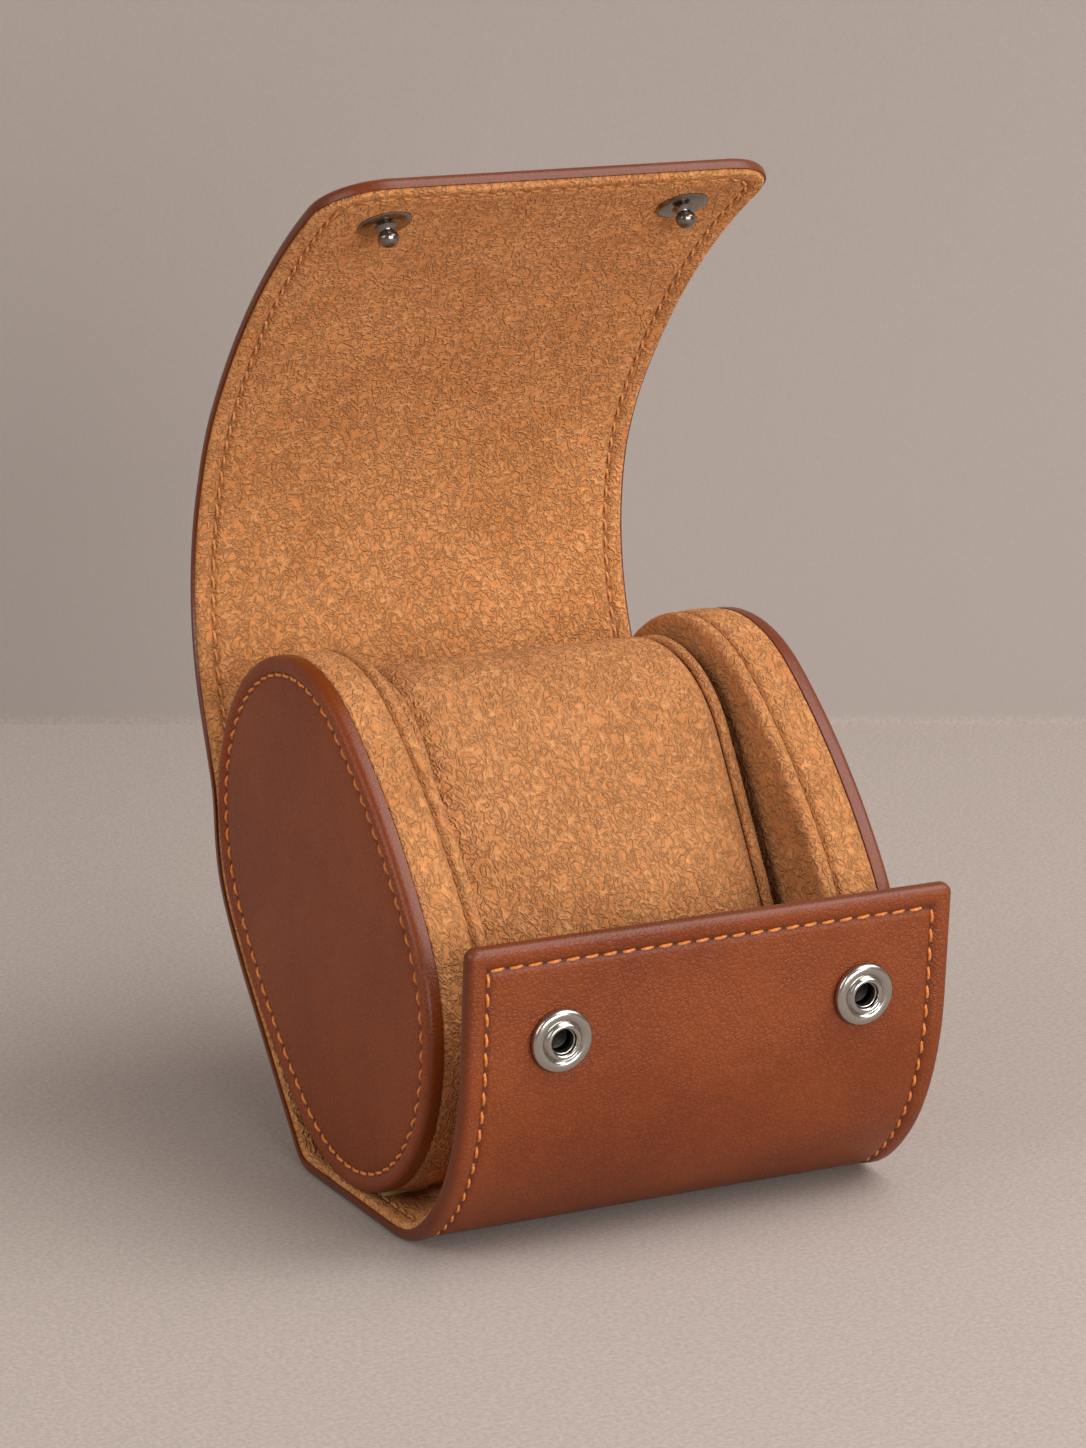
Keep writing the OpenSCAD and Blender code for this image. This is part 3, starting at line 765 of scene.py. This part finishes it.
def oval_ring(inset, count=AROUND, shift=0.0):
    """Evenly spaced points of the oval, each as y, z and its outward direction."""
    middles = ((END_D, 0), (0, HALF_H - SIDE_R), (-END_D, 0), (0, SIDE_R - HALF_H))
    radii = (END_R - inset, SIDE_R - inset) * 2
    turns = (-JOIN, JOIN, 180 - JOIN, 180 + JOIN, 360 - JOIN)
    pieces = list(zip(middles, radii, turns, turns[1:]))
    lengths = [r * math.radians(b - a) for _, r, a, b in pieces]
    c, s = toward(OVAL_LEAN)
    ring = []
    for k in range(count):
        reach = (k + shift) / count * sum(lengths)
        for (centre, r, a, b), length in zip(pieces, lengths):
            if reach <= length:
                break
            reach -= length
        angle = math.radians(a) + reach / r
        nu, nv = math.cos(angle), math.sin(angle)
        u, v = centre[0] + r * nu, centre[1] + r * nv
        ring.append((OVAL_MIDDLE[0] + u * c - v * s, OVAL_MIDDLE[1] + u * s + v * c,
                     nu * c - nv * s, nu * s + nv * c))
    return ring


SHRINKS_FROM, SHRINKS_OVER = 30, 10


def oval_shell(name, side, profile, finish):
    """A closed shell lofted through ovals given as (inset, distance from the middle of the
    case). Deep inside, the ovals shrink towards their middle instead."""
    points, faces = [], ring_faces(len(profile), AROUND)
    for inset, x in profile:
        shrink = 1 - max(0, inset - SHRINKS_FROM) / SHRINKS_OVER
        for y, z, _, _ in oval_ring(min(inset, SHRINKS_FROM)):
            y, z = (m + (p - m) * shrink for m, p in zip(OVAL_MIDDLE, (y, z)))
            points.append((side * x * MM, y * MM, z * MM))
    for i in (0, len(profile) - 1):
        points.append((side * profile[i][1] * MM, OVAL_MIDDLE[0] * MM, OVAL_MIDDLE[1] * MM))
        faces += fan(i * AROUND, AROUND, len(points) - 1)
    return object_from(name, points, faces, finish)


# Painted light: the end faces get their own copy of the strip's leather, tinted redder and a little
# lighter than the strip's, to make up for how the light falls on them.
face_leather = leather_named("face_leather", tint(122, 50, 9), tint(134, 59, 14),
                             tint(155, 76, 28), tint(78, 30, 6))
cushion_suede = suede_named("cushion_suede", tint(172, 110, 65), tint(186, 124, 76),
                            tint(228, 170, 114))
FACE_SEAM_IN, FACE_THREAD_X, BAND_SEAM_IN, BAND_SEAM_X = 3.7, 49.3, 0.6, 38.3
face_profile = [(9, 46.9), (1.1, 46.75), (0.35, 46.6), (0.04, 46.8), (0.0, 47.3), (0.0, 48.3),
                (0.06, 48.8), (0.22, 49.25), (0.5, 49.62), (0.9, 49.88), (1.4, 50.0),
                (1.9, 50.0), (2.35, 49.9), (2.75, 49.7), (3.1, 49.45), (3.4, 49.26),
                (3.7, 49.2), (4.0, 49.26), (4.4, 49.4), (5.0, 49.52), (6.2, 49.6),
                (8.5, 49.66), (12, 49.72), (17, 49.77), (23, 49.8), (30, 49.82),
                (34, 49.83), (38, 49.83)]
body_profile = [(34, 46.5), (9, 46.5), (1.2, 46.62), (0.4, 46.6), (0.12, 46.45), (0.02, 46.0),
                (-0.05, 45.2), (-0.15, 43.8), (-0.2, 42.4), (-0.2, 41.0), (-0.12, 40.0),
                (0.05, 39.3), (0.3, 38.8), (0.62, 38.5), (0.75, 38.3), (0.62, 38.1),
                (0.3, 37.8), (0.05, 37.4), (0.0, 36.9), (0.12, 36.3), (0.45, 35.75),
                (1.0, 35.38), (1.8, 35.22), (3, 35.2), (6, 35.25), (12, 35.3), (20, 35.3),
                (30, 35.3), (36, 35.3)]


def inset_at(piece):
    """How far each point of an oval piece is inside the oval's outline."""
    outline = np.array([(y, z) for y, z, _, _ in oval_ring(0.0)])
    spots = np.array([(v.co.y / MM, v.co.z / MM) for v in piece.data.vertices])
    return np.sqrt(((spots[:, None, :] - outline[None, :, :]) ** 2).sum(2)).min(1)


for side, word in ((-1, "left"), (1, "right")):
    face = oval_shell(word + "_end_face", side, face_profile, face_leather)
    insets = inset_at(face)
    store(face, "rim", [rim_at(d, 0.9) for d in insets])
    # Painted shade along the channel of the face's seam.
    store(face, "seam_shade", [near_to(d, FACE_SEAM_IN, 0.42) for d in insets])
    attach(face, "base")
    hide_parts(word + "_face", word + "_board")
    core = oval_shell(word + "_cushion", side, body_profile, cushion_suede)
    # Painted shade in the channel at the band's seam.
    store(core, "seam_shade", [near_to(abs(v.co.x) / MM, BAND_SEAM_X, 0.5) for v in core.data.vertices])
    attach(core, "base")
    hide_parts(word + "_foam", word + "_band", word + "_cheek")
    ring = oval_ring(FACE_SEAM_IN, 76)
    spots = [(side * FACE_THREAD_X * MM, y * MM, z * MM) for y, z, _, _ in ring]
    ways = [(0, -nz - SLANT * ny, ny - SLANT * nz) for _, _, ny, nz in ring]
    outs = [(side, 0, 0)] * len(ring)
    seam_thread = sew(word + "_face_thread", spots, ways, outs, thread_finish)
    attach(seam_thread, "base")
    ring = oval_ring(BAND_SEAM_IN, 84, 0.3)
    spots = [(side * BAND_SEAM_X * MM, y * MM, z * MM) for y, z, _, _ in ring]
    ways = [(SLANT, -nz, ny) for _, _, ny, nz in ring]
    outs = [(0, ny, nz) for _, _, ny, nz in ring]
    band_thread = sew(word + "_band_thread", spots, ways, outs, brown_thread,
                      Length=2.5, Thickness=0.26, Rise=0.2)
    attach(band_thread, "base")

glue_finish, place, shader = finish_named("dried_glue", Roughness=0.5)
glue_colour = place.noise(3, 2).between(0.3, 0.7).blend(tint(190, 170, 120), tint(205, 186, 140))
connect(shader, Base_Color=glue_colour)
for word in ("left", "right"):
    glue_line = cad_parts[word + "_glue"]
    glue_line.data.materials.clear()
    glue_line.data.materials.append(glue_finish)

# The pillow: a foam block with rounded ends in a suede cover, sewn at both ends, that stands
# between the cushions and carries the watch. The cover is pulled tight and swells between its
# end seams, so the cloth is inflated and settled here, held at the seams.
PILLOW_AT, PILLOW_LEAN, PILLOW_R, PILLOW_RUN = (-6.0208, 34.0), 59.0, 30.0, 39.0
pillow_suede = suede_named("pillow_suede", tint(168, 108, 63), tint(184, 123, 77),
                           tint(232, 175, 120))
pillow_middle = np.array(PILLOW_AT) + PILLOW_RUN / 2 * toward(PILLOW_LEAN)


def pill_ring(inset, count):
    """Evenly spaced points round the pillow's section."""
    r = PILLOW_R - inset
    total = 2 * math.pi * r + 2 * PILLOW_RUN
    c, s = toward(PILLOW_LEAN)
    ring = []
    for k in range(count):
        d = k / count * total
        if d < math.pi * r:
            u, v = PILLOW_RUN + r * math.sin(d / r), -r * math.cos(d / r)
        elif d < math.pi * r + PILLOW_RUN:
            u, v = PILLOW_RUN - (d - math.pi * r), r
        elif d < 2 * math.pi * r + PILLOW_RUN:
            a = (d - math.pi * r - PILLOW_RUN) / r
            u, v = -r * math.sin(a), r * math.cos(a)
        else:
            u, v = d - 2 * math.pi * r - PILLOW_RUN, -r
        ring.append((PILLOW_AT[0] + u * c - v * s, PILLOW_AT[1] + u * s + v * c))
    return ring


COVER_IN, END_ROUND, COVER_END, PILLOW_AROUND = 0.9, 4.5, 31.7, 96
pillow_end = [(26, -32.7), (18, -32.9), (12, -33.0), (7, -33.0), (5, -32.9), (4, -32.6),
              (3.4, -32.1), (3.0, -31.5)]
pillow_end += [(COVER_IN + END_ROUND * (1 - math.sqrt(1 - (1 - e / END_ROUND) ** 2)),
                e - COVER_END) for e in (0.7, 1.2, 1.9, 2.8, 3.8)]
stations = pillow_end + [(COVER_IN, x) for x in np.arange(-27.0, 27.1, 2.25)]
stations += [(inset, -x) for inset, x in pillow_end[::-1]]
points = [(x * MM, y * MM, z * MM) for inset, x in stations
          for y, z in pill_ring(inset, PILLOW_AROUND)]
faces = ring_faces(len(stations), PILLOW_AROUND)
for i in (0, len(stations) - 1):
    points.append((stations[i][1] * MM, pillow_middle[0] * MM, pillow_middle[1] * MM))
    faces += fan(i * PILLOW_AROUND, PILLOW_AROUND, len(points) - 1)
pillow = object_from("watch_pillow", points, faces, pillow_suede, smooth_angle=80)
HELD_FROM, LAST_FRAME, MOST_SWELL, PAINTED_SHADE_FROM, PAINTED_SHADE_OVER = 30.4, 16, 2.4, 30.6, 0.8
start = np.array([v.co for v in pillow.data.vertices])
held = pillow.vertex_groups.new(name="seams")
held.add([i for i, p in enumerate(start) if abs(p[0]) > HELD_FROM * MM], 1.0, "REPLACE")
cloth = pillow.modifiers.new("cover", "CLOTH")
cloth.settings.quality = 6
cloth.settings.mass = 0.25
cloth.settings.tension_stiffness = 18
cloth.settings.compression_stiffness = 18
cloth.settings.bending_stiffness = 1.5
cloth.settings.use_pressure = True
cloth.settings.uniform_pressure_force = 4.0
cloth.settings.vertex_group_mass = "seams"
cloth.settings.effector_weights.gravity = 0
cloth.point_cache.frame_start, cloth.point_cache.frame_end = 1, LAST_FRAME
for tick in range(1, LAST_FRAME + 1):
    bpy.context.scene.frame_set(tick)
settled = pillow.evaluated_get(bpy.context.evaluated_depsgraph_get())
settled = bpy.data.meshes.new_from_object(settled)
after = np.array([v.co for v in settled.vertices])
bpy.data.meshes.remove(settled)
bpy.context.scene.frame_set(1)
pillow.modifiers.remove(cloth)
move = after - start
size = np.linalg.norm(move, axis=1, keepdims=True)
moved = start + move * np.minimum(1.0, MOST_SWELL * MM / np.maximum(size, 1e-9))
pillow.data.vertices.foreach_set("co", moved.astype(np.float32).ravel())
pillow.data.update()
finer = pillow.modifiers.new("smooth", "SUBSURF")
finer.levels = finer.render_levels = 1
# Painted shade: the pillow's ends are painted darker from 30.6 mm out, for the shade in the gap by
# the cushions and at the end seams.
store(pillow, "seam_shade", [min(1.0, max(0.0, (abs(v.co.x) / MM - PAINTED_SHADE_FROM) / PAINTED_SHADE_OVER))
                       for v in pillow.data.vertices])
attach(pillow, "pillow")
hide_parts("pillow_core", "pillow_cover", "pillow_left", "pillow_right")
WELT_X, WELT_R, WELT_IN, WELT_ALONG, WELT_AROUND = 31.9, 1.15, 2.15, 120, 12
for side, word in ((-1, "left"), (1, "right")):
    points = []
    for y, z in pill_ring(WELT_IN, WELT_ALONG):
        out_y, out_z = y - pillow_middle[0], z - pillow_middle[1]
        size = math.hypot(out_y, out_z)
        for k in range(WELT_AROUND):
            a = 2 * math.pi * k / WELT_AROUND
            x, lift = WELT_X + WELT_R * math.sin(a), WELT_R * math.cos(a)
            points.append((side * x * MM, (y + out_y / size * lift) * MM,
                           (z + out_z / size * lift) * MM))
    faces = ring_faces(WELT_ALONG, WELT_AROUND, joined=True)
    welt = object_from("pillow_welt_" + word, points, faces, pillow_suede, smooth_angle=80)
    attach(welt, "pillow")

# The snaps: on the flap a polished nickel cap with a rolled rim round an open socket, set on a
# post that is riveted through the strip; on the lid a darker nickel stud with a ball tip, held
# by a domed rivet cap outside. Turned from the solid, with fine marks of polishing.


def nickel_named(name, dark, light, dull, marks):
    """Nickel plating, with fine marks of polishing."""
    made, place, shader = finish_named(name, Metallic=1.0)
    fine = place.noise(0.8, 3, 0.5)
    connect(shader, Base_Color=place.noise(3, 2).blend(dark, light),
            Roughness=(dull + fine * 0.12), Normal=fine.bump(marks, 0.0001))
    return made


nickel = nickel_named("polished_nickel", tint(168, 163, 157), tint(188, 183, 177), 0.16, 0.12)
dark_nickel = nickel_named("dark_nickel", tint(120, 113, 108), tint(144, 137, 131), 0.14, 0.1)
# Painted shade: the post inside the socket is painted near black, for the shade in the socket's
# hole.
post_painted_shade, place, shader = finish_named("post_steel_painted_shade", Metallic=1.0, Roughness=0.42)
connect(shader, Base_Color=place.noise(1, 2).blend(tint(36, 33, 31), tint(58, 54, 51)))
flap_middle, flap_in = on_path(socket_s)
lid_middle, lid_in = on_path(stud_s)
STUD_PROUD = 0.05
at_flap = flap_middle - flap_in * STRIP / 2
at_lid = lid_middle + lid_in * (STRIP / 2 + STUD_PROUD)
at_back = lid_middle - lid_in * STRIP / 2
cap = [(2.4, -0.6), (2.9, -0.6), (2.9, -0.1), (5.7, -0.1), (5.92, 0.08), (6.0, 0.4),
       (5.96, 0.8), (5.8, 1.12), (5.5, 1.36), (5.1, 1.48), (4.7, 1.5), (4.3, 1.42),
       (4.05, 1.3), (3.9, 1.14), (3.78, 1.08), (3.66, 1.16), (3.5, 1.42), (3.3, 1.66),
       (3.05, 1.8), (2.8, 1.78), (2.6, 1.62), (2.48, 1.36), (2.42, 1.05), (2.4, 0.7),
       (2.4, -0.6)]
SPRING_R, WIRE_R, SPRING_UP = 2.5, 0.28, 0.65
wire_turns = [WIRE_R * toward(a) for a in range(0, 361, 30)]
ring_wire = [(SPRING_R + out_by, SPRING_UP + up_by) for out_by, up_by in wire_turns]
post = [(0.0, -3.3), (4.3, -3.3), (4.5, -3.15), (4.5, -2.7), (4.4, -2.6), (3.0, -2.6),
        (3.0, -0.62), (2.45, -0.62), (2.4, -2.2), (2.1, -2.33), (0.0, -2.36)]
stud = [(0, -0.1), (5.1, -0.1), (5.2, 0.05), (5.18, 0.28), (4.95, 0.5), (4.4, 0.66),
        (3.6, 0.8), (2.9, 0.86), (2.5, 0.8), (2.2, 0.84), (1.95, 1.0), (1.7, 1.25),
        (1.45, 1.5), (1.32, 1.8), (1.4, 2.0), (1.7, 2.25), (1.9, 2.55), (2.0, 2.95),
        (1.95, 3.4), (1.78, 3.85), (1.5, 4.3), (1.1, 4.66), (0.6, 4.88), (0, 4.95)]
rivet = [(0, 1.12), (1.6, 1.08), (3.1, 0.96), (4.3, 0.74), (5.1, 0.48), (5.45, 0.22),
         (5.5, 0.02), (5.4, -0.1), (0, -0.1)]
for side, word in ((-1, "left"), (1, "right")):
    for name, profile, spot, axis, finish, body, slot, node in (
            ("_snap_cap", cap, at_flap, -flap_in, nickel, "flap_3", "nickel", "_socket"),
            ("_ring_spring", ring_wire, at_flap, -flap_in, nickel, "flap_3", "spring_steel",
             "_spring"),
            ("_snap_post", post, at_flap, -flap_in, post_painted_shade, "flap_3", "nickel", "_post"),
            ("_snap_stud", stud, at_lid, lid_in, dark_nickel, "lid_5", "dark_nickel", "_stud"),
            ("_rivet_cap", rivet, at_back, -lid_in, nickel, "lid_5", "nickel", "_rivet")):
        piece = turned(word + name, profile, snap_spot(side, spot), (0, *axis), finish)
        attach(piece, body)
        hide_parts(word + node)
